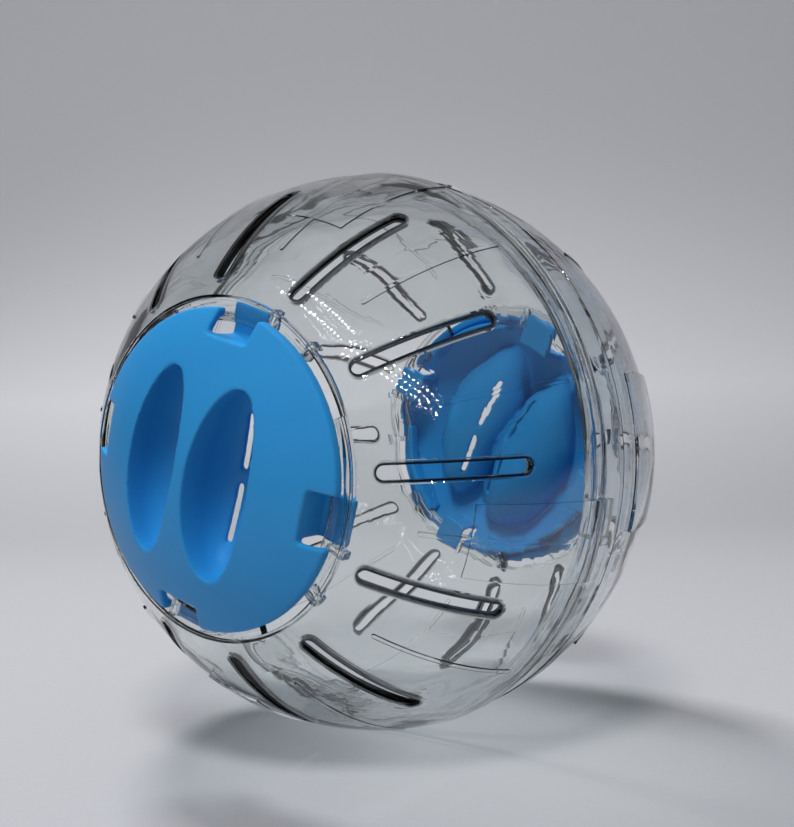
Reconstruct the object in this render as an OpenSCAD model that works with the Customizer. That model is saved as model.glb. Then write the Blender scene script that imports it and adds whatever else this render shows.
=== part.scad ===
// Hamster ball: two clear half shells joined by a twist lock, and a coloured twist cap in each mouth.
// Origin at the centre of the ball. The caps sit on the Y axis, the front one towards -Y. +Z is up.
// Each half and its cap are drawn with their pole along +Z, then turned to the front or to the rear.

/* [Ball] */
// Outer radius of the front half
ball_r = 70; // [60:0.5:80]
// How much less the rear half's outer radius is
rear_step = 0.9; // [0.5:0.1:1.5]
// Wall of the two halves
shell_wall = 2; // [1.6:0.1:2.2]

/* [Mouth] */
// Outer radius of the flat seat round each mouth
mouth_r = 38.9; // [38.6:0.1:39.6]
// Radius of the hole in the lip that the cap reaches through
lip_bore_r = 33.2; // [32.6:0.1:33.6]
// Thickness of the lip that the cap's lugs lock under
lip_t = 2; // [1.6:0.1:2.4]
// Width of the small bead round the seat
bead_w = 0.6; // [0.4:0.1:0.9]
// Height of the small bead round the seat
bead_h = 0.5; // [0.2:0.1:0.8]

/* [Vent slots and ribs] */
// Vent slots in each half, with as many ribs between them
slot_count = 12; // [8:1:16]
// Width of a vent slot
slot_w = 3.2; // [2:0.1:4]
// Latitude of a slot's end near the seam, in degrees
slot_low = 24.3; // [22:0.1:30]
// Latitude of a slot's end near the mouth, in degrees
slot_high = 52.3; // [46:0.1:53]
// Width of a raised rib
rib_w = 1; // [0.6:0.1:1.6]
// Height of a raised rib
rib_h = 0.45; // [0.3:0.05:0.8]
// Latitude of a rib's end near the seam, in degrees
rib_low = 12.8; // [10:0.1:20]
// Latitude of a rib's end near the mouth, in degrees
rib_high = 44.6; // [38:0.1:50]

/* [Pads] */
// Pads on each half
pad_count = 4; // [2:1:4]
// Height of a front pad
front_pad_h = 0.4; // [0.2:0.1:0.8]
// Width of a front pad, in degrees
front_pad_a = 16.2; // [12:0.1:24]
// Direction of the middle of the first front pad, in degrees
front_pad_mid = -15.5; // [-20:0.5:-10]
// Width of a rear pad, in degrees
rear_pad_a = 31.5; // [20:0.5:40]
// Latitude of a rear pad's edge near the seam, in degrees
rear_pad_low = 8; // [6:0.5:14]
// Latitude of a pad's edge near the mouth, in degrees
pad_high = 35; // [28:0.5:40]

/* [Seam band] */
// How far the band reaches in front of the middle plane
band_front = 6.45; // [5.5:0.05:7.5]
// How far the band reaches behind the middle plane
band_rear = 2.95; // [2:0.05:4]
// How much less the band's outer radius is than the ball's
band_step = 1.1; // [0.9:0.1:1.6]
// Thickness of the ring of the front half that fits inside the band
spigot_t = 2.4; // [2.2:0.1:3]
// How far that ring reaches into the band
spigot_depth = 2; // [1.2:0.1:2.4]
// How far that ring reaches up the inside of the front half
spigot_rise = 2; // [1:0.1:4]

/* [Twist lock of the halves] */
// Tongues, and ledges that hold them
tongue_count = 4; // [2:1:4]
// Width of a tongue, in degrees
tongue_a = 7.6; // [5:0.1:9]
// Direction of the middle of the first tongue, in degrees
tongue_mid = -12.2; // [-14:0.1:-10]
// Thickness of a tongue
tongue_t = 1.1; // [0.9:0.05:1.2]
// How far a tongue reaches behind the middle plane
tongue_rear = 1.2; // [0.8:0.1:2]
// Height of the foot on a tongue
foot_h = 3.1; // [2:0.1:3.3]
// How far a foot reaches under its ledge
foot_hold = 0.6; // [0.4:0.05:0.8]
// Thickness of a ledge
ledge_t = 1.5; // [1:0.1:1.6]
// Width of the stop at the end of a ledge, in degrees
ledge_stop_a = 1.3; // [1:0.1:2]

/* [Cap] */
// How far the cap's face stands out of the ball's surface
cap_proud = 0.65; // [0.4:0.05:1]
// Outer radius of the cap
cap_rim_r = 36.2; // [35.8:0.1:37]
// Width of the thick rim round the cap
cap_rim_w = 2; // [1.6:0.1:2.4]
// Wall of the cap's face
cap_wall = 2; // [1.6:0.1:2.4]
// Turn of the locked front cap, in degrees
front_lock = -17; // [-40:1:40]
// Turn of the locked rear cap, in degrees
rear_lock = 28; // [-40:1:40]

/* [Finger recesses] */
// Width of a finger recess
recess_w = 16.4; // [14:0.1:17]
// Length of a finger recess
recess_l = 43.2; // [36:0.1:45]
// Depth of a finger recess
recess_depth = 15; // [11:0.1:17]
// Wall of a finger recess
recess_wall = 2; // [1.9:0.1:2.4]
// Width of the grip bar between the two recesses
grip_w = 3.4; // [2.6:0.1:3.6]
// Width of the slit in the wall of a recess
slit_w = 1.6; // [1:0.1:2.4]
// Length of the slit from end to end
slit_l = 27; // [20:0.5:30]
// Width of the bridge across the slit
slit_bridge = 3; // [2:0.1:4]
// How far the slit is turned towards the grip bar, in degrees
slit_turn = 29; // [15:1:40]

/* [Cap lugs] */
// Width of the notch above each lug
notch_w = 11.7; // [11:0.1:13]
// Radius at which a notch begins, which is also the outside of the lug's leg
notch_r = 30.1; // [29.6:0.1:30.6]
// Width of a lug
lug_w = 10.2; // [8:0.1:10.8]
// Thickness of a lug
lug_t = 2; // [1.6:0.1:2.4]
// Thickness of the leg that carries a lug
leg_t = 1.9; // [1.5:0.1:2.2]
// Outer radius of a lug
lug_r = 37.1; // [36.6:0.1:37.2]
// Width of the gate in the lip that lets a lug in, in degrees
gate_a = 25; // [22:0.5:28]
// Turn from a locked lug to the middle of its gate, in degrees
gate_turn = 47.6; // [45:0.1:50]
// Width of a stop rib under the lip, in degrees
stop_a = 2.4; // [1.6:0.1:3]
// Radial length of a stop rib
stop_l = 3; // [2:0.1:3]
// Width of a locating rib between two lugs, in degrees
locator_a = 40; // [20:1:44]
// Thickness of a locating rib
locator_t = 1.8; // [1.4:0.1:2]

/* [Fits] */
// Radial gap of a turning fit
running_fit = 0.09; // [0.05:0.01:0.1]
// Gap between pieces that pass each other
clearance = 0.3; // [0.2:0.05:0.35]
// Gap under the cap's rim, and between the halves' edges
seat_gap = 0.15; // [0.1:0.05:0.25]
// Gap outside the lugs as they turn
lug_space = 0.6; // [0.4:0.1:0.7]

/* [Hidden] */
$fn = 96;
// How far a cut runs past what it cuts
overrun = 3;
// Direction in which the halves carry no slot, rib, pad or lock, where their round walls begin
plain_a = 52;
// Lugs, notches and gates stand square to each other
lug_count = 4;
quarter = 360 / lug_count;
// Outer radius of the rear half, of the band and of what fits in the band
rear_r = ball_r - rear_step;
band_r = ball_r - band_step;
band_in = band_r - shell_wall;
spigot_r = band_in - running_fit;
spigot_in = spigot_r - spigot_t;
rim_z = band_front + seat_gap;
spigot_low = rim_z - spigot_depth;
// The foot of a tongue, and the ledge that it locks under
foot_r = band_in - clearance;
ledge_in = foot_r - foot_hold;
tongue_out = ledge_in - clearance;
tongue_in = tongue_out - tongue_t;
foot_top = foot_h - tongue_rear;
ledge_low = foot_top + clearance;
ledge_high = ledge_low + ledge_t;
// Latitude of the mouth's edge that all the latitudes above are given for. Slots, ribs and pads
// keep their share of the way from the seam to the mouth.
mouth_lat = 56.24;
latitude_share = acos(mouth_r / ball_r) / mouth_lat;
// Heights at the mouth
seat_z = sqrt(pow(ball_r, 2) - pow(mouth_r, 2));
lip_z = seat_z - lip_t;
gate_r = lug_r + lug_space + seat_gap;
relief_r = lug_r + lug_space;
// The stop ribs run a little into the wall round the lip
stop_r = (relief_r + mouth_r) / 2;
// Heights of the cap
cap_r = ball_r + cap_proud;
rim_low = seat_z + seat_gap;
lug_top = lip_z - clearance;
lug_low = lug_top - lug_t;
// The recesses: half width, half length, distance from the axis, and height of their round bottom's axis
recess_a = recess_w / 2;
recess_b = recess_l / 2;
recess_x = recess_a + grip_w / 2;
recess_z = sqrt(pow(cap_r, 2) - pow(recess_x, 2)) - recess_depth + recess_a;
// Half the angle that a lug takes up, with the gap to a stop
lug_half_a = asin(lug_w / 2 / (lug_r - stop_l)) + clearance / lug_r * 180 / PI;
clear_color = [0.85, 0.9, 0.93, 0.35];
cap_color = [0.2, 0.5, 0.78];

// A stretch of ring with a rectangular section, from a start angle
module ring_part(start, angle, r_in, r_out, z_low, z_high) {
    rotate([0, 0, start])
        rotate_extrude(angle = angle)
            translate([r_in, z_low]) square([r_out - r_in, z_high - z_low]);
}

// A bar with round ends that follows a meridian between two latitudes
module meridian_bar(low, high, width, r_in, r_out) {
    end_a = asin(width / 2 / r_out);
    first = low * latitude_share + end_a;
    last = high * latitude_share - end_a;
    rotate([90, 0, 0])
        rotate([0, 0, first])
            rotate_extrude(angle = last - first)
                translate([r_in, -width / 2]) square([r_out - r_in, width]);
    for (lat = [first, last])
        rotate([0, -lat, 0]) translate([r_in, 0, 0]) rotate([0, 90, 0])
            cylinder(r = width / 2, h = r_out - r_in);
}

module vent_slots(r) {
    for (i = [0 : slot_count - 1])
        rotate([0, 0, i * 360 / slot_count])
            meridian_bar(slot_low, slot_high, slot_w, r - shell_wall - overrun, ball_r + overrun);
}

module ribs(r) {
    for (i = [0 : slot_count - 1])
        rotate([0, 0, (i + 0.5) * 360 / slot_count])
            meridian_bar(rib_low, rib_high, rib_w, r - shell_wall / 2, r + rib_h);
}

// Section of a spherical wall, for rotate_extrude
module wall_section(r, wall) {
    intersection() {
        difference() {
            circle(r = r);
            circle(r = r - wall);
        }
        square(r + overrun);
    }
}

// Slice of a section between two latitudes
module latitude_slice(low, high) {
    reach = 2 * ball_r;
    first = low * latitude_share;
    last = high * latitude_share;
    polygon([[0, 0], [reach * cos(first), reach * sin(first)], [reach * cos(last), reach * sin(last)]]);
}

// Section of a half's wall with its flat seat, lip and bead at the mouth
module half_section(r, z_low) {
    difference() {
        wall_section(r, shell_wall);
        translate([0, -overrun]) square([r + overrun, z_low + overrun]);
        translate([0, seat_z]) square([mouth_r, ball_r]);
        square([relief_r, lip_z]);
    }
    difference() {
        translate([lip_bore_r, lip_z]) square([mouth_r - lip_bore_r, lip_t]);
        circle(r = r - shell_wall - lip_t);
    }
    translate([mouth_r - bead_w, seat_z - lip_t / 2]) square([bead_w, bead_h + lip_t / 2]);
}

// Gates that let the lugs in
module gates(lock) {
    for (i = [0 : lug_count - 1])
        ring_part(lock + gate_turn - gate_a / 2 + i * quarter, gate_a,
            lip_bore_r - overrun, gate_r, lip_z - overrun, seat_z + overrun);
}

// Ribs under the lip that stop a lug at the locked end and at the gate's end
module lug_stops(lock) {
    open_side = gate_turn + gate_a / 2;
    lock_side = quarter - lug_half_a;
    for (i = [0 : lug_count - 1]) {
        // The gate's cut trims this one to its width
        ring_part(lock + open_side - stop_a / 2 + i * quarter, 1.5 * stop_a,
            lug_r - stop_l, stop_r, lug_low, lip_z + lip_t / 2);
        ring_part(lock + lock_side - stop_a + i * quarter, stop_a,
            lug_r - stop_l, stop_r, lug_low, lip_z + lip_t / 2);
    }
}

module front_section() {
    half_section(ball_r, rim_z);
    translate([spigot_in, spigot_low]) square([spigot_t, spigot_depth]);
    intersection() {
        translate([spigot_in, rim_z]) square([ball_r - spigot_in, spigot_rise]);
        circle(r = ball_r - shell_wall / 2);
    }
}

module front_pads() {
    for (i = [0 : pad_count - 1])
        rotate([0, 0, front_pad_mid - front_pad_a / 2 + i * 360 / pad_count])
            rotate_extrude(angle = front_pad_a)
                intersection() {
                    wall_section(ball_r + front_pad_h, front_pad_h + shell_wall / 2);
                    latitude_slice(0, pad_high);
                    translate([0, rim_z]) square([2 * ball_r, 2 * ball_r]);
                }
}

module tongues() {
    root = spigot_low + spigot_depth / 2;
    for (i = [0 : tongue_count - 1])
        rotate([0, 0, tongue_mid - tongue_a / 2 + i * 360 / tongue_count])
            rotate_extrude(angle = tongue_a)
                polygon([[tongue_in, -tongue_rear], [foot_r, -tongue_rear], [foot_r, foot_top],
                    [tongue_out, foot_top], [tongue_out, root], [tongue_in, root]]);
}

module front_shell() {
    difference() {
        union() {
            rotate([0, 0, plain_a]) rotate_extrude() front_section();
            lug_stops(front_lock);
            ribs(ball_r);
            front_pads();
            tongues();
        }
        vent_slots(ball_r);
        gates(front_lock);
    }
}

module rear_section() {
    half_section(rear_r, band_rear);
    translate([band_in, -band_front]) square([shell_wall, band_front + band_rear]);
}

module rear_pads() {
    for (i = [0 : pad_count - 1])
        rotate([0, 0, i * 360 / pad_count - rear_pad_a / 2])
            rotate_extrude(angle = rear_pad_a)
                intersection() {
                    wall_section(ball_r, rear_step + shell_wall / 2);
                    latitude_slice(rear_pad_low, pad_high);
                }
}

// Ledges that the tongues' feet lock under, each with a stop at its end. Seen from the rear, the
// tongues lie at the opposite angles.
module ledges() {
    half_a = tongue_a / 2;
    fit_a = clearance / band_in * 180 / PI;
    for (i = [0 : tongue_count - 1]) {
        mid = 180 - tongue_mid + i * 360 / tongue_count;
        ring_part(mid - half_a, tongue_a + fit_a + ledge_stop_a / 2, ledge_in, band_in + shell_wall / 2,
            -ledge_high, -ledge_low);
        ring_part(mid + half_a + fit_a, ledge_stop_a, ledge_in, band_in + shell_wall / 2,
            -ledge_high, tongue_rear);
    }
}

module rear_shell() {
    difference() {
        union() {
            rotate([0, 0, plain_a]) rotate_extrude() rear_section();
            lug_stops(rear_lock);
            ribs(rear_r);
            rear_pads();
            ledges();
        }
        vent_slots(rear_r);
        gates(rear_lock);
    }
}

// A finger recess as a solid, grown by a wall: an oval with straight sides and a round bottom
module recess(grow) {
    a = recess_a + grow;
    b = recess_b + grow;
    linear_extrude(height = cap_r) scale([1, b / a]) circle(r = a);
    rotate([-90, 0, 0])
        rotate_extrude(angle = 180)
            intersection() {
                scale([1, b / a]) circle(r = a);
                translate([0, -b]) square([a, 2 * b]);
            }
}

// The slit of one recess, in two lengths with a bridge between them
module slit() {
    deep = recess_a + recess_wall + overrun;
    near = slit_bridge / 2 + slit_w / 2;
    far = slit_l / 2 - slit_w / 2;
    for (side = [-1, 1])
        rotate([0, 0, side > 0 ? 0 : 180]) {
            translate([-slit_w / 2, near, -deep]) cube([slit_w, far - near, recess_a + recess_wall]);
            for (y = [near, far])
                translate([0, y, -deep]) cylinder(r = slit_w / 2, h = recess_a + recess_wall);
        }
}

module cap_section() {
    intersection() {
        union() {
            wall_section(cap_r, cap_wall);
            translate([cap_rim_r - cap_rim_w, rim_low]) square([cap_rim_w, cap_r - rim_low]);
        }
        circle(r = cap_r);
        translate([0, rim_low]) square([cap_rim_r, cap_r]);
    }
}

// A leg down from the face and a lug that reaches out under the lip
module lug() {
    intersection() {
        translate([notch_r - leg_t, -lug_w / 2, lug_low]) cube([leg_t, lug_w, cap_r]);
        sphere(r = cap_r - cap_wall / 2);
    }
    intersection() {
        translate([notch_r - leg_t, -lug_w / 2, lug_low]) cube([cap_rim_r, lug_w, lug_t]);
        cylinder(r = lug_r, h = cap_r);
    }
}

module locators() {
    intersection() {
        for (i = [0 : lug_count - 1])
            ring_part((i + 0.5) * quarter - locator_a / 2, locator_a,
                lip_bore_r - running_fit - locator_t, lip_bore_r - running_fit, lip_z, cap_r);
        sphere(r = cap_r - cap_wall / 2);
    }
}

module cap() {
    difference() {
        union() {
            rotate_extrude() cap_section();
            intersection() {
                for (side = [-1, 1])
                    translate([side * recess_x, 0, recess_z]) recess(recess_wall);
                sphere(r = cap_r);
            }
            for (i = [0 : lug_count - 1])
                rotate([0, 0, i * quarter]) lug();
            locators();
        }
        for (side = [-1, 1])
            translate([side * recess_x, 0, recess_z]) {
                recess(0);
                rotate([0, side * slit_turn, 0]) slit();
            }
        for (i = [0 : lug_count - 1])
            rotate([0, 0, i * quarter])
                translate([notch_r, -notch_w / 2, (lug_top + rim_low) / 2]) cube([ball_r, notch_w, ball_r]);
    }
}

module to_front() {
    rotate([90, 0, 0]) children();
}

module to_rear() {
    rotate([90, 0, 180]) children();
}

module rear_half() {
    color(clear_color) to_rear() rear_shell();
}

module front_half() {
    color(clear_color) to_front() front_shell();
}

module front_cap() {
    color(cap_color) to_front() rotate([0, 0, front_lock]) cap();
}

module rear_cap() {
    color(cap_color) to_rear() rotate([0, 0, rear_lock]) cap();
}

rear_half();
front_half();
front_cap();
rear_cap();
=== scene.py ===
# %% [markdown]
# # A clear hamster ball with blue twist caps
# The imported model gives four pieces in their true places: two clear half shells and two caps. This
# script loads them as a fixed frame, gives the shells their clear plastic, models the caps again with
# the soft edges of a real moulding, and lights the ball on a pale floor.

import math

import bpy
from mathutils import Matrix, Vector


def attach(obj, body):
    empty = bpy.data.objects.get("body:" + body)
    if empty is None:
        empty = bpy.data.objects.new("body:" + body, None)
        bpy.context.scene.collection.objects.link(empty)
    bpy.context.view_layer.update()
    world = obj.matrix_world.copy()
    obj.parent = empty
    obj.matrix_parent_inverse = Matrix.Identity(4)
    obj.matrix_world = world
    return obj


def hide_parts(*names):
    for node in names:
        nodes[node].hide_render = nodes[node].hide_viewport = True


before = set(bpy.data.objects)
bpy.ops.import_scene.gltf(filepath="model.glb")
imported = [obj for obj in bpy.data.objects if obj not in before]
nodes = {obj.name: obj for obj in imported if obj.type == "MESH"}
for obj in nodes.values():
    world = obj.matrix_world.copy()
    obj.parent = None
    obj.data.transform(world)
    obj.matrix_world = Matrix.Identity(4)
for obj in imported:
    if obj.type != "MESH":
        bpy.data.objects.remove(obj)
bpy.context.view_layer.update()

# %% [markdown]
# ## Camera
# The photograph was taken from a little above the middle of the ball and from its right side. The
# place and the lens come from fitting the ball's outline, its slots and its seam to the picture. A
# camera looks along its own -Z, so its three axes are the picture's right, its up, and straight back.

# %% Camera
BALL_R = 0.070
LENS_MM, FILM_MM = 59.4, 36
CAMERA_PLACE = Vector((3.0758, -3.9401, 0.3309)) * BALL_R
right = Vector((0.7978, 0.6022, -0.0297))
ahead = Vector((-0.6029, 0.7969, -0.0392))

camera_data = bpy.data.cameras.new("camera")
camera_data.lens, camera_data.sensor_width = LENS_MM, FILM_MM
camera_data.clip_start = 0.01
camera = bpy.data.objects.new("camera", camera_data)
bpy.context.scene.collection.objects.link(camera)
camera.matrix_world = Matrix((right, right.cross(ahead), -ahead)).transposed().to_4x4()
camera.location = CAMERA_PLACE
bpy.context.scene.camera = camera
print("camera at", tuple(round(x, 3) for x in camera.location))

# %% [markdown]
# ## Words for the materials
# Shader nodes are easier to read as sums. The class below wraps one socket, so that `noise * 0.2 + 0.4`
# adds the Math nodes for it, and `1.0 - mask` works too. Every other kind of node comes from `add`. The
# same words serve for the world, which has nodes as a material has.

# %% A small language for shader nodes


class Value:
    """A socket of a material, for use in sums."""

    def __init__(self, paint, socket):
        self.paint, self.socket = paint, socket

    def math(self, operation, *others):
        return self.paint.add("ShaderNodeMath", {"operation": operation}, self, *others)

    def __add__(self, other):
        return self.math("ADD", other)

    def __sub__(self, other):
        return self.math("SUBTRACT", other)

    def __rsub__(self, other):
        return self.paint.add("ShaderNodeMath", {"operation": "SUBTRACT"}, other, self)

    def __mul__(self, other):
        return self.math("MULTIPLY", other)

    __radd__, __rmul__ = __add__, __mul__


class Paint:
    """The nodes of a new material, or of the world."""

    def __init__(self, owner):
        owner.use_nodes = True
        self.owner, self.tree = owner, owner.node_tree
        self.tree.nodes.clear()
        self.place = self.add("ShaderNodeTexCoord", {}, output="Object")

    def add(self, kind, settings, *inputs, output=0, **named):
        """A node with its settings, then its inputs in order and by name, as values or sockets."""
        node = self.tree.nodes.new(kind)
        for key, value in settings.items():
            setattr(node, key, value)
        for key, value in [*enumerate(inputs), *named.items()]:
            socket = node.inputs[key.replace("_", " ") if isinstance(key, str) else key]
            if isinstance(value, Value):
                self.tree.links.new(value.socket, socket)
            elif value is not None:
                socket.default_value = value
        return Value(self, node.outputs[output])

    def noise(self, scale, detail):
        return self.add("ShaderNodeTexNoise", {}, Vector=self.place, Scale=scale, Detail=detail)

    def mix(self, factor, one, two):
        """A colour between two colours. A Mix node's inputs 1 to 5 are for numbers and vectors."""
        unused = [None] * 5
        return self.add("ShaderNodeMix", {"data_type": "RGBA"}, factor, *unused, one, two, output=2)

    def blend(self, factor, one, two):
        """A surface between two surfaces."""
        return self.add("ShaderNodeMixShader", {}, factor, one, two)

    def light_path(self, output):
        """What kind of ray meets the surface, or how often it has bounced."""
        return self.add("ShaderNodeLightPath", {}, output=output)

    def bump(self, height, distance):
        return self.add("ShaderNodeBump", {}, Height=height, Distance=distance)

    def finish(self, shader, output="ShaderNodeOutputMaterial"):
        out = self.tree.nodes.new(output)
        self.tree.links.new(shader.socket, out.inputs[0])
        print(self.owner.name, "with", len(self.tree.nodes), "nodes")
        return self.owner


def colour(red, green, blue):
    """A colour as a screen gives it, from 0 to 255, as the linear numbers that a shader takes."""
    line = [c / 255 / 12.92 if c < 10 else ((c / 255 + 0.055) / 1.055) ** 2.4 for c in (red, green, blue)]
    return (*line, 1.0)


print("a screen's middle grey, 128 of 255, is", round(colour(128, 128, 128)[0], 3), "of full light")

# %% [markdown]
# ## Where the vent slots are
# Each half has twelve slots that let the animal breathe. On the real ball their cut walls look nearly
# black, because they bend the view sideways into the plastic, and the mould rounds their rims. A rounded
# rim could be modelled, but the shells are fixed pieces. So that darkness is painted shade: the material
# works out, from the place on the ball, how far a point is from the nearest slot, and paints the walls
# and rims near-black. The angle round the pole folds into one slot's share, and the latitude says how far
# past the slot's end the point is.

# %% Where the vent slots are
SLOTS, SLOT_W = 12, 0.0032
SLOT_FROM, SLOT_TO = math.radians(24.3), math.radians(52.3)  # latitudes of the slots' round ends
END_R = 0.071  # where half a slot's width is turned into an angle
SLOT_END = math.asin(SLOT_W / 2 / END_R)
SLOT_LOW, SLOT_HIGH = SLOT_FROM + SLOT_END, SLOT_TO - SLOT_END
RIM_DARK, RIM_CLEAR = 0.0004, 0.0009  # distances from a slot's wall


def slot_rim(paint):
    """1 on the walls of the slots, fading to 0 a little way from their rims: where the painted shade and
    the rims' drop go.
    """
    x, y, z = (paint.add("ShaderNodeSeparateXYZ", {}, paint.place, output=axis) for axis in "XYZ")
    from_axis = (x * x + z * z).math("SQRT")
    across = z.math("ARCTAN2", x).math("PINGPONG", math.pi / SLOTS) * from_axis
    latitude = y.math("ABSOLUTE").math("ARCTAN2", from_axis)
    past = (SLOT_LOW - latitude).math("MAXIMUM", latitude - SLOT_HIGH).math("MAXIMUM", 0.0) * BALL_R
    distance = (across * across + past * past).math("SQRT") - SLOT_W / 2
    return paint.add("ShaderNodeMapRange", {}, Value=distance, From_Min=RIM_CLEAR, From_Max=RIM_DARK)


print("slots from", round(math.degrees(SLOT_LOW), 1), "to", round(math.degrees(SLOT_HIGH), 1), "degrees")

# %% [markdown]
# ## Clear plastic
# The halves are thin, hard, clear mouldings. Their walls are never quite even: slow ripples bend what
# is seen through them. They differ between the outside and the inside of the wall, so the noise takes
# the distance from the centre as its fourth number. The inside is the wavier one, and the outside,
# which is polished, mirrors small lights sharply. Fine scuffs change the roughness a little. Glass
# blocks lamps in a path tracer. So rays on their way to a lamp, and those that a matt surface has
# scattered, pass straight through a tint instead. It is darker where they graze the wall, and the ball
# casts a light shadow with darker edges.

# %% Clear plastic
# The slots' near-black colour is painted shade. It stands in for the view bent away at their walls and
# rounded rims.
CLEAR_TINT, SLOT_PAINTED_SHADE = (0.93, 0.955, 0.95, 1.0), (0.03, 0.033, 0.035, 1.0)
STRAIGHT_TINT, GRAZING_TINT = (0.96, 0.97, 0.97, 1.0), (0.66, 0.69, 0.7, 1.0)
INSIDE_R, OUTSIDE_R = 0.0684, 0.0694
INSIDE_WAVES, OUTSIDE_WAVES, WAVE_DEPTH = 0.8, 0.04, 0.0013
WAVES_PER_M, WAVE_DETAIL, WALL_CHANGE = 44.0, 1.2, 20.0
SCUFFS_PER_M, POLISH, SCUFFED = 350.0, 0.003, 0.03
RIM_DROP = 0.1  # how far a slot's rim falls away, as a share of the wave's depth


def clear_plastic(name):
    paint = Paint(bpy.data.materials.new(name))
    away = paint.add("ShaderNodeVectorMath", {"operation": "LENGTH"}, paint.place, output=1)
    ripple = paint.add(
        "ShaderNodeTexNoise",
        {"noise_dimensions": "4D"},
        Vector=paint.place,
        W=away * WALL_CHANGE,
        Scale=WAVES_PER_M,
        Detail=WAVE_DETAIL,
    )
    wavy = paint.add(
        "ShaderNodeMapRange",
        {},
        Value=away,
        From_Min=INSIDE_R,
        From_Max=OUTSIDE_R,
        To_Min=INSIDE_WAVES,
        To_Max=OUTSIDE_WAVES,
    )
    scuffs = paint.noise(SCUFFS_PER_M, detail=3.0)
    rim = slot_rim(paint)
    glass = paint.add(
        "ShaderNodeBsdfPrincipled",
        {},
        # Painted shade: the slots' walls and rims are painted near-black.
        Base_Color=paint.mix(rim, CLEAR_TINT, SLOT_PAINTED_SHADE),
        Roughness=scuffs * SCUFFED + POLISH,
        IOR=1.5,
        Transmission_Weight=1.0,
        Normal=paint.bump(ripple * wavy - rim * RIM_DROP, WAVE_DEPTH),
    )
    grazing = paint.add("ShaderNodeLayerWeight", {}, Blend=0.5, output="Facing")
    straight_on = paint.add("ShaderNodeBsdfTransparent", {}, Color=STRAIGHT_TINT)
    slanting = paint.add("ShaderNodeBsdfTransparent", {}, Color=GRAZING_TINT)
    passing = paint.light_path("Is Shadow Ray").math("MAXIMUM", paint.light_path("Is Diffuse Ray"))
    wall = paint.blend(passing, glass, straight_on)
    return paint.finish(paint.blend(passing * grazing, wall, slanting))


clear = clear_plastic("clear_plastic")
for name in ("front_half", "rear_half"):
    nodes[name].data.materials.clear()
    nodes[name].data.materials.append(clear)

# %% [markdown]
# ## Blue plastic
# The caps are opaque and coloured through, with the satin finish of a fine-grained mould. A slow noise
# changes the blue and its roughness a little, as handling does, and a very fine bump breaks up the
# highlight. The shine is lower than that of bare plastic, because a fine grain mirrors less.

# %% Blue plastic
BLUE, LIGHTER_BLUE = colour(42, 142, 208), colour(50, 151, 217)
CLOUDS_PER_M, SATIN, HANDLED = 45.0, 0.34, 0.1
GRAIN_PER_M, GRAIN_DEPTH = 2600.0, 0.00002


def blue_plastic(name):
    paint = Paint(bpy.data.materials.new(name))
    cloud = paint.noise(CLOUDS_PER_M, detail=3.0)
    satin = paint.add(
        "ShaderNodeBsdfPrincipled",
        {},
        Base_Color=paint.mix(cloud, BLUE, LIGHTER_BLUE),
        Roughness=cloud * HANDLED + SATIN,
        Specular_IOR_Level=0.3,
        Normal=paint.bump(paint.noise(GRAIN_PER_M, detail=2.0), GRAIN_DEPTH),
    )
    return paint.finish(satin)


blue = blue_plastic("blue_plastic")

# %% [markdown]
# ## The twist cap
# The real cap is one moulding: a domed face with a thick rim, two deep finger recesses, four notches,
# and a leg with a lug under each notch. Moulded edges are never sharp. So the cap is put together from
# turned and cut shapes, then wrapped in one even skin of small squares, which is smoothed: that rounds
# every edge a little, as a mould does. The sizes are the model's, for a cap that faces up the Z axis.
# Only the slits differ: the photo shows them a little longer and narrower than the solids have them.

# %% Sizes of the cap
MM = 0.001
FACE_R, FACE_WALL = 70.65 * MM, 2.0 * MM
RIM_R, RIM_W, RIM_LOW = 36.2 * MM, 2.0 * MM, 58.35 * MM
RECESS_HALF_W, RECESS_HALF_L, RECESS_WALL = 8.2 * MM, 21.6 * MM, 2.0 * MM
RECESS_X, RECESS_Z, RECESS_SIDES = 9.9 * MM, 63.15 * MM, 20 * MM
NOTCH_W, NOTCH_R, NOTCH_LOW = 11.7 * MM, 30.1 * MM, 57.1 * MM
LUG_W, LUG_T, LUG_R, LUG_LOW = 10.2 * MM, 2.0 * MM, 37.1 * MM, 53.9 * MM
LEG_T, LEG_HIGH = 1.9 * MM, 62.5 * MM
RIB_R, RIB_T, RIB_LOW, RIB_HIGH, RIB_GAP = 33.11 * MM, 1.8 * MM, 56.2 * MM, 60 * MM, 12.2 * MM
SLIT_W, SLIT_L, SLIT_BRIDGE, SLIT_TURN = 1.3 * MM, 30.5 * MM, 3.0 * MM, math.radians(29)
SLIT_FROM, SLIT_TO = -13 * MM, -3 * MM  # along the slit's own depth
NEAR_AXIS, PAST_R, PAST_Z = 5 * MM, 45 * MM, 75 * MM  # well inside and beyond what is cut
print("cap:", round(2 * RIM_R / MM, 1), "mm across")

# %% [markdown]
# ## Face and rim
# A lathe would make the face by turning, and so does this: the dome, the rim's foot and the dome's
# inside are drawn as one line, point by point, and the line is spun round the Z axis. A new shape starts
# with everything else deselected, because an operator acts on all that is selected. A spin can turn a
# shape inside out, so its normals are worked out again, once its doubled points are merged.

# %% Face and rim
TURN_STEPS, DOME_STEPS = 120, 30


def edit(piece):
    """Opens one piece alone for editing, with all of it selected."""
    bpy.ops.object.select_all(action="DESELECT")
    bpy.context.view_layer.objects.active = piece
    piece.select_set(True)
    bpy.ops.object.mode_set(mode="EDIT")
    bpy.ops.mesh.select_all(action="SELECT")


def done(piece, name):
    bpy.ops.object.mode_set(mode="OBJECT")
    piece.name = name
    return piece


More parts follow.
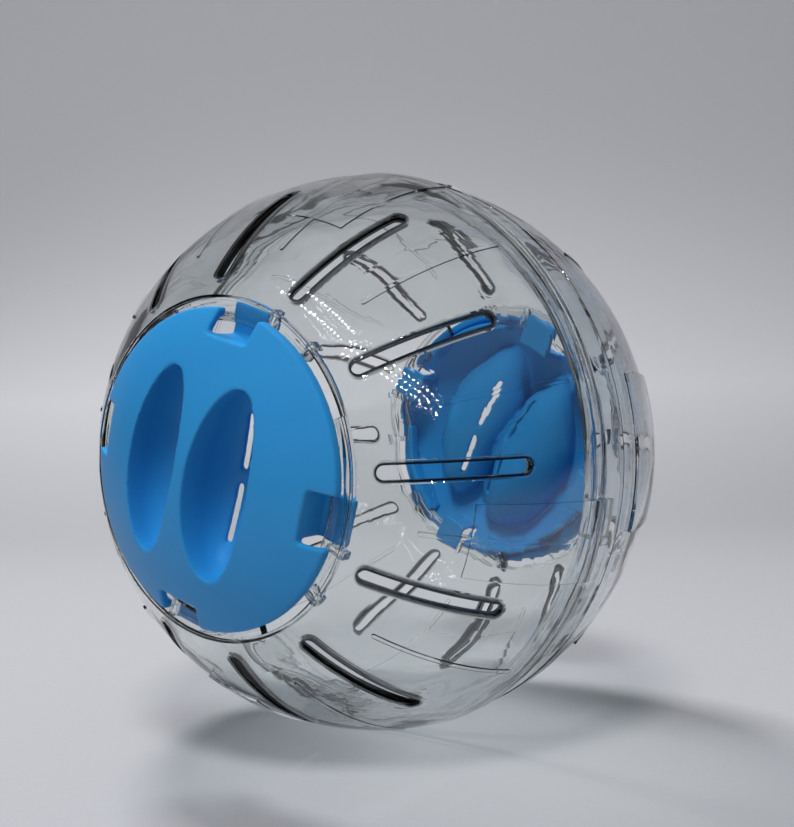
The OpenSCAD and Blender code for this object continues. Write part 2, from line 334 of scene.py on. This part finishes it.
def drawn(line):
    """A line through points given as (distance, height), left open for editing."""
    bpy.ops.object.select_all(action="DESELECT")
    bpy.ops.mesh.primitive_plane_add(size=MM)
    piece = bpy.context.object
    edit(piece)
    bpy.ops.mesh.merge(type="CENTER")
    bpy.ops.transform.translate(value=(line[0][0], 0, line[0][1]))
    for (r0, z0), (r1, z1) in zip(line, line[1:]):
        bpy.ops.mesh.extrude_region_move(TRANSFORM_OT_translate={"value": (r1 - r0, 0, z1 - z0)})
    bpy.ops.mesh.select_all(action="SELECT")
    return piece


def turned(name, line):
    """A ring or bowl: a line spun round the Z axis."""
    piece = drawn(line)
    bpy.ops.mesh.spin(steps=TURN_STEPS, angle=2 * math.pi, center=(0, 0, 0), axis=(0, 0, 1))
    bpy.ops.mesh.select_all(action="SELECT")
    bpy.ops.mesh.remove_doubles(threshold=1e-6)
    bpy.ops.mesh.normals_make_consistent(inside=False)
    return done(piece, name)


def arc(radius, low, high):
    """Points of a dome's section between two radii from the axis."""
    start, end = math.asin(low / radius), math.asin(high / radius)
    angles = [start + (end - start) * i / DOME_STEPS for i in range(DOME_STEPS + 1)]
    return [(radius * math.sin(a), radius * math.cos(a)) for a in angles]


foot = [(RIM_R, RIM_LOW), (RIM_R - RIM_W, RIM_LOW)]
inside = arc(FACE_R - FACE_WALL, 0.0, RIM_R - RIM_W)
cap = turned("cap", arc(FACE_R, 0.0, RIM_R) + foot + inside[::-1])
print("face and rim:", len(cap.data.polygons), "faces")

# %% [markdown]
# ## Walls of the recesses
# A finger recess is an oval bowl: half a stretched sphere whose open rim is drawn up into straight
# walls. Two bowls made two millimetres larger all round, and trimmed by the dome, are the walls round
# the recesses. They are joined to the face solid, and hollowed later.

# %% Walls of the recesses


def place(piece, matrix):
    piece.data.transform(matrix)
    return piece


def combine(piece, operation, *others):
    """Joins, cuts or trims a piece with others, which are used up."""
    bpy.ops.object.select_all(action="DESELECT")
    bpy.context.view_layer.objects.active = piece
    for other in others:
        step = piece.modifiers.new("combine", "BOOLEAN")
        step.operation, step.solver, step.object = operation, "EXACT", other
        bpy.ops.object.modifier_apply(modifier=step.name)
        bpy.data.objects.remove(other)
    return piece


def recess(name, grow, side):
    """The space of a finger recess, larger all round by grow, left or right of the middle."""
    bpy.ops.object.select_all(action="DESELECT")
    bpy.ops.mesh.primitive_uv_sphere_add(segments=96, ring_count=48, radius=1)
    piece = bpy.context.object
    edit(piece)
    half_w, half_l = RECESS_HALF_W + grow, RECESS_HALF_L + grow
    bpy.ops.transform.resize(value=(half_w, half_l, half_w))
    bpy.ops.mesh.bisect(plane_co=(0, 0, 0), plane_no=(0, 0, 1), clear_outer=True)
    bpy.ops.mesh.select_all(action="DESELECT")
    bpy.ops.mesh.select_non_manifold()
    bpy.ops.mesh.extrude_region_move(TRANSFORM_OT_translate={"value": (0, 0, RECESS_SIDES)})
    bpy.ops.mesh.fill()
    bpy.ops.mesh.select_all(action="SELECT")
    bpy.ops.mesh.normals_make_consistent(inside=False)
    bpy.ops.transform.translate(value=(0, 0, RECESS_Z))
    return place(done(piece, name), Matrix.Translation((side * RECESS_X, 0, 0)))


dome = turned("dome", [*arc(FACE_R, 0.0, RIM_R), (RIM_R, RECESS_SIDES), (0.0, RECESS_SIDES)])
walls = recess("wall", RECESS_WALL, -1)
combine(walls, "UNION", recess("wall", RECESS_WALL, 1))
combine(walls, "INTERSECT", dome)
combine(cap, "UNION", walls)
print("face with recess walls:", len(cap.data.polygons), "faces")

# %% [markdown]
# ## Legs and locating ribs
# Under each notch a leg reaches down through the mouth, with a lug that locks under the clear lip.
# Between the legs stand the arcs of a thin ring, which centre the cap in the mouth. One leg is modelled
# and copied round by quarter turns, and the ring is turned whole and parted by four blocks.

# %% Legs and locating ribs


def block(name, low, high):
    """A plain block between two corners, to cut with or to join on."""
    bpy.ops.object.select_all(action="DESELECT")
    bpy.ops.mesh.primitive_cube_add(size=1)
    piece = bpy.context.object
    edit(piece)
    bpy.ops.transform.resize(value=[h - l for l, h in zip(low, high)])
    bpy.ops.transform.translate(value=[(h + l) / 2 for l, h in zip(low, high)])
    return done(piece, name)


def copied(piece, name):
    other = piece.copy()
    other.data = piece.data.copy()
    other.name = name
    bpy.context.scene.collection.objects.link(other)
    return other


def four(piece):
    """Four of a piece, a quarter turn apart, as one mesh."""
    others = [place(copied(piece, "turned"), Matrix.Rotation(i * math.pi / 2, 4, "Z")) for i in (1, 2, 3)]
    bpy.ops.object.select_all(action="DESELECT")
    for other in (*others, piece):
        other.select_set(True)
    bpy.context.view_layer.objects.active = piece
    bpy.ops.object.join()
    return piece


leg = block("leg", (NOTCH_R - LEG_T, -LUG_W / 2, LUG_LOW), (NOTCH_R, LUG_W / 2, LEG_HIGH))
lug = block("lug", (NOTCH_R - LEG_T, -LUG_W / 2, LUG_LOW), (LUG_R, LUG_W / 2, LUG_LOW + LUG_T))
combine(leg, "UNION", lug)
corners = [(RIB_R - RIB_T, RIB_LOW), (RIB_R, RIB_LOW), (RIB_R, RIB_HIGH), (RIB_R - RIB_T, RIB_HIGH)]
rib = turned("rib", corners + corners[:1])
combine(rib, "DIFFERENCE", four(block("gap", (NEAR_AXIS, -RIB_GAP, 0), (PAST_R, RIB_GAP, PAST_Z))))
combine(cap, "UNION", four(leg), rib)
print("with legs and ribs:", len(cap.data.polygons), "faces")

# %% [markdown]
# ## Recesses, notches and slits
# The cuts come last, so that each goes through all that was joined before it. A slit runs along the
# bottom of each recess, on the side towards the grip bar, and a bridge parts it in two.

# %% Recesses, notches and slits
combine(cap, "DIFFERENCE", recess("bowl", 0.0, -1), recess("bowl", 0.0, 1))
notch = block("notch", (NOTCH_R, -NOTCH_W / 2, NOTCH_LOW), (PAST_R, NOTCH_W / 2, PAST_Z))
combine(cap, "DIFFERENCE", four(notch))
for side in (-1, 1):
    for half in (-1, 1):
        near, far = sorted((half * SLIT_BRIDGE / 2, half * SLIT_L / 2))
        slit = block("slit", (-SLIT_W / 2, near, SLIT_FROM), (SLIT_W / 2, far, SLIT_TO))
        lean = Matrix.Rotation(side * SLIT_TURN, 4, "Y")
        place(slit, Matrix.Translation((side * RECESS_X, 0, RECESS_Z)) @ lean)
        combine(cap, "DIFFERENCE", slit)
print("cap:", len(cap.data.polygons), "faces")

# %% [markdown]
# ## One even skin, softened
# A bevel would need clean edges, and cutting leaves ragged ones. Voxels don't mind: the remesh lays
# one skin of small squares over the whole cap, and the smoothing rounds each edge by about half a
# millimetre, as the mould does. The squares must be well under the thinnest wall, or holes open in it.

# %% One even skin, softened
SQUARE, SMOOTHINGS = 0.46 * MM, 10
cap.data.remesh_voxel_size = SQUARE
bpy.ops.object.select_all(action="DESELECT")
bpy.context.view_layer.objects.active = cap
cap.select_set(True)
bpy.ops.object.voxel_remesh()
soften = cap.modifiers.new("soften", "SMOOTH")
soften.factor, soften.iterations = 0.5, SMOOTHINGS
bpy.ops.object.modifier_apply(modifier=soften.name)
bpy.ops.object.shade_smooth()
print("softened cap:", len(cap.data.polygons), "faces")

# %% [markdown]
# ## Both caps in their mouths
# Both caps are the same moulding, so the rear one is a copy. Each is turned as the model has it, rides
# on the body of its own node, and stands in for that node, which is hidden.

# %% Both caps in their mouths
FRONT_TURN, REAR_TURN = math.radians(-17), math.radians(28)
TO_FRONT = Matrix.Rotation(math.pi / 2, 4, "X")
TO_REAR = Matrix.Rotation(math.pi, 4, "Z") @ TO_FRONT
cap.data.materials.append(blue)
rear = copied(cap, "rear_cap_moulding")
cap.name = "front_cap_moulding"
place(cap, TO_FRONT @ Matrix.Rotation(FRONT_TURN, 4, "Z"))
place(rear, TO_REAR @ Matrix.Rotation(REAR_TURN, 4, "Z"))
for piece, node in ((cap, "front_cap"), (rear, "rear_cap")):
    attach(piece, node)
    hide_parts(node)
    node + "_blue"

# %% [markdown]
# ## Floor and backdrop
# The ball stands on a pale sheet that bends up behind it, so there is no line between floor and wall.
# Its section is drawn as a line and pushed out sideways, then turned to face the camera.

# %% Floor and backdrop
REST_SHARE = 0.9957  # the ball rests on its front half's rim, just inside the full radius
FLOOR_Z = -BALL_R * REST_SHARE
SHEET_FRONT, BEND_AT, BEND_R, SHEET_TALL, SHEET_W = -2.5, 0.35, 0.5, 2.5, 6.0
BEND_STEPS = 24
back = Vector((ahead.x, ahead.y, 0)).normalized()
BACK_TURN = math.atan2(back.y, back.x)

bends = [math.pi / 2 * i / BEND_STEPS for i in range(1, BEND_STEPS + 1)]
section = [(SHEET_FRONT, 0.0), (BEND_AT, 0.0)]
section += [(BEND_AT + BEND_R * math.sin(a), BEND_R - BEND_R * math.cos(a)) for a in bends]
section += [(BEND_AT + BEND_R, SHEET_TALL)]
sheet = drawn(section)
bpy.ops.mesh.extrude_region_move(TRANSFORM_OT_translate={"value": (0, SHEET_W, 0)})
done(sheet, "backdrop")
turn = Matrix.Rotation(BACK_TURN, 4, "Z")
place(sheet, turn @ Matrix.Translation((0, -SHEET_W / 2, FLOOR_Z)))
bpy.ops.object.shade_smooth()
print("backdrop:", len(sheet.data.polygons), "faces")

# %% [markdown]
# ## Colour of the backdrop
# The sheet's own colour makes it pale, not strong lamps. It is also painted lighter with height, as
# painted light. Only for rays that the ball has mirrored is it painted dark far away, as a painted
# reflection: the walls then mirror a dim room, which gives the clear plastic its grey edges, while every
# direct view stays pale. Seen directly, the sheet melts into the room's own grey far from the ball, so
# that no horizon shows from the back or the sides. It has no shine, or it would mirror the small lights
# as stray specks.

# %% Colour of the backdrop
PALE, PALE_FLECK, PALE_HIGH_PAINTED_LIGHT = colour(162, 163, 167), colour(167, 168, 172), colour(205, 205, 210)
PAINTED_DIM_REFLECTION = colour(45, 46, 48)
FLECKS_PER_M = 900.0
ROOM_GREY, ROOM_SEEN = (0.95, 0.97, 1.0, 1.0), 0.42

paint = Paint(bpy.data.materials.new("pale_backdrop"))


def outside(behind, size, end):
    """0 in an oval whose middle is some way behind the ball, rising to 1 at end times its size."""
    spot = paint.add(
        "ShaderNodeMapping",
        {"vector_type": "TEXTURE"},
        paint.place,
        Location=back * behind,
        Rotation=(0, 0, BACK_TURN),
        Scale=size,
    )
    away = paint.add("ShaderNodeVectorMath", {"operation": "LENGTH"}, spot, output=1)
    soft = {"interpolation_type": "SMOOTHSTEP"}
    return paint.add("ShaderNodeMapRange", soft, Value=away, From_Min=1.0, From_Max=end)


height = paint.add("ShaderNodeSeparateXYZ", {}, paint.place, output="Z")
# Painted light: the sheet's colour grows lighter with height.
painted_light_by_height = paint.add("ShaderNodeMapRange", {}, Value=height, From_Min=FLOOR_Z, From_Max=0.0)
mirrored = paint.light_path("Glossy Depth").math("MINIMUM", 1.0)
diffused = paint.light_path("Diffuse Depth").math("MINIMUM", 1.0)
flecked = paint.mix(paint.noise(FLECKS_PER_M, detail=2.0), PALE, PALE_FLECK)
pale = paint.mix(painted_light_by_height, flecked, PALE_HIGH_PAINTED_LIGHT)
far = outside(behind=0.5, size=(0.6, 1.2, 4.0), end=1.3)
# Painted reflection: far from the ball, rays that the ball has mirrored see the sheet painted dim.
matt = paint.add(
    "ShaderNodeBsdfPrincipled",
    {},
    Base_Color=paint.mix(far * mirrored, pale, PAINTED_DIM_REFLECTION),
    Roughness=0.7,
    Specular_IOR_Level=0.0,
)
room_grey = paint.add("ShaderNodeEmission", {}, Color=ROOM_GREY, Strength=ROOM_SEEN)
direct = 1.0 - mirrored.math("MAXIMUM", diffused)
melting = outside(behind=0.45, size=(0.75, 0.6, 0.9), end=2.0) * direct
sheet.data.materials.append(paint.finish(paint.blend(melting, matt, room_grey)))

# %% [markdown]
# ## Lamps
# In the photograph a steep light stands in front: it leaves the recesses dark but for their lower ends.
# A weaker one behind and to the left throws a shadow towards the camera, and a wide, weak one in front
# keeps the shadows from going black. None is mirrored in the walls, where the strips below are seen.

# %% Lamps


def lamp(name, at, size, power, spread=math.pi):
    """A soft square lamp turned to the ball, which isn't mirrored in it."""
    data = bpy.data.lights.new(name, "AREA")
    data.shape, data.size = "SQUARE", size
    data.energy, data.spread = power, spread
    obj = bpy.data.objects.new(name, data)
    bpy.context.scene.collection.objects.link(obj)
    obj.location = at
    obj.rotation_mode = "QUATERNION"
    obj.rotation_quaternion = Vector(at).to_track_quat("Z", "Y")
    obj.visible_glossy = obj.visible_transmission = False
    return obj


lamps = [
    lamp("overhead", at=(0.32, -0.62, 1.15), size=0.3, power=11.5),
    lamp("behind_left", at=(-0.56, 0.25, 0.86), size=0.22, power=3.2, spread=math.radians(100)),
    lamp("fill", at=(0.4, -1.2, 0.6), size=1.0, power=1.3),
]
print("lamps:", [(each.name, round(each.data.energy, 1)) for each in lamps])

# %% [markdown]
# ## Light strips
# The wall mirrors rows of small bright dots: strips of many tiny lamps on the ceiling. They are made as
# small glowing squares that face the ball, evenly spaced as the ball sees them, so their corners are
# worked out as numbers. Only mirrored rays see them, and they light nothing, so they leave the floor
# alone.

# %% Light strips
CEILING, GLOW = 1.3, 80.0


def light_strip(name, start, end, beads, rows, gap, size):
    """Rows of square lights on the ceiling between two directions. The gap and the size are angles."""
    start, end = Vector(start), Vector(end)
    across = start.cross(end).normalized()
    points, faces = [], []
    for row in range(rows):
        aside = across * gap * (row - (rows - 1) / 2)
        for i in range(beads):
            middle = start.normalized().slerp(end.normalized(), i / (beads - 1)) + aside
            middle *= CEILING / middle.z
            side = middle.cross((0, 0, 1)).normalized()
            over = side.cross(middle).normalized()
            half = size / 2 * middle.length
            for x, y in ((-1, -1), (-1, 1), (1, 1), (1, -1)):
                points.append(middle + (side * x + over * y) * half)
            faces.append(range(len(points) - 4, len(points)))
    mesh = bpy.data.meshes.new(name)
    mesh.from_pydata(points, [], faces)
    obj = bpy.data.objects.new(name, mesh)
    bpy.context.scene.collection.objects.link(obj)
    glow = Paint(bpy.data.materials.new(name + "_glow"))
    light = glow.add("ShaderNodeEmission", {}, Color=(1, 1, 1, 1), Strength=GLOW)
    mesh.materials.append(glow.finish(light))
    mesh.materials[0].cycles.emission_sampling = "NONE"
    obj.visible_diffuse = obj.visible_shadow = obj.visible_camera = False
    return obj


near_from, near_to = (-0.27, -0.47, 1), (0.36, -0.82, 1)
far_from, far_to = (0.44, -0.97, 1), (2.8, -1.39, 1)
strips = [
    light_strip("strip_near", near_from, near_to, beads=19, rows=2, gap=0.085, size=0.011),
    light_strip("strip_far", far_from, far_to, beads=21, rows=3, gap=0.045, size=0.011),
]
print("lights in the strips:", [(each.name, len(each.data.polygons)) for each in strips])

# %% [markdown]
# ## The room
# The world stands for the room. Seen directly or straight through the walls it is an even pale grey.
# Mirrored, or as light on a surface, it is dimmer and grows lighter towards the ceiling. How far up a
# ray goes is the Z of its direction.

# %% The room
ROOM_LOW, ROOM_HIGH = 0.05, 0.32
LOW_Z, HIGH_Z = 0.1, 0.9

world = bpy.data.worlds.new("room")
bpy.context.scene.world = world
room = Paint(world)
direction = room.add("ShaderNodeTexCoord", {}, output="Generated")
upward = room.add("ShaderNodeSeparateXYZ", {}, direction, output="Z")
dim = room.add(
    "ShaderNodeMapRange",
    {},
    Value=upward,
    From_Min=LOW_Z,
    From_Max=HIGH_Z,
    To_Min=ROOM_LOW,
    To_Max=ROOM_HIGH,
)
bounced = (room.light_path("Glossy Depth") + room.light_path("Diffuse Depth")).math("MINIMUM", 1.0)
strength = (dim - ROOM_SEEN) * bounced + ROOM_SEEN
background = room.add("ShaderNodeBackground", {}, Color=ROOM_GREY, Strength=strength)
room.finish(background, "ShaderNodeOutputWorld")
bpy.context.scene.view_settings.view_transform = "Standard"
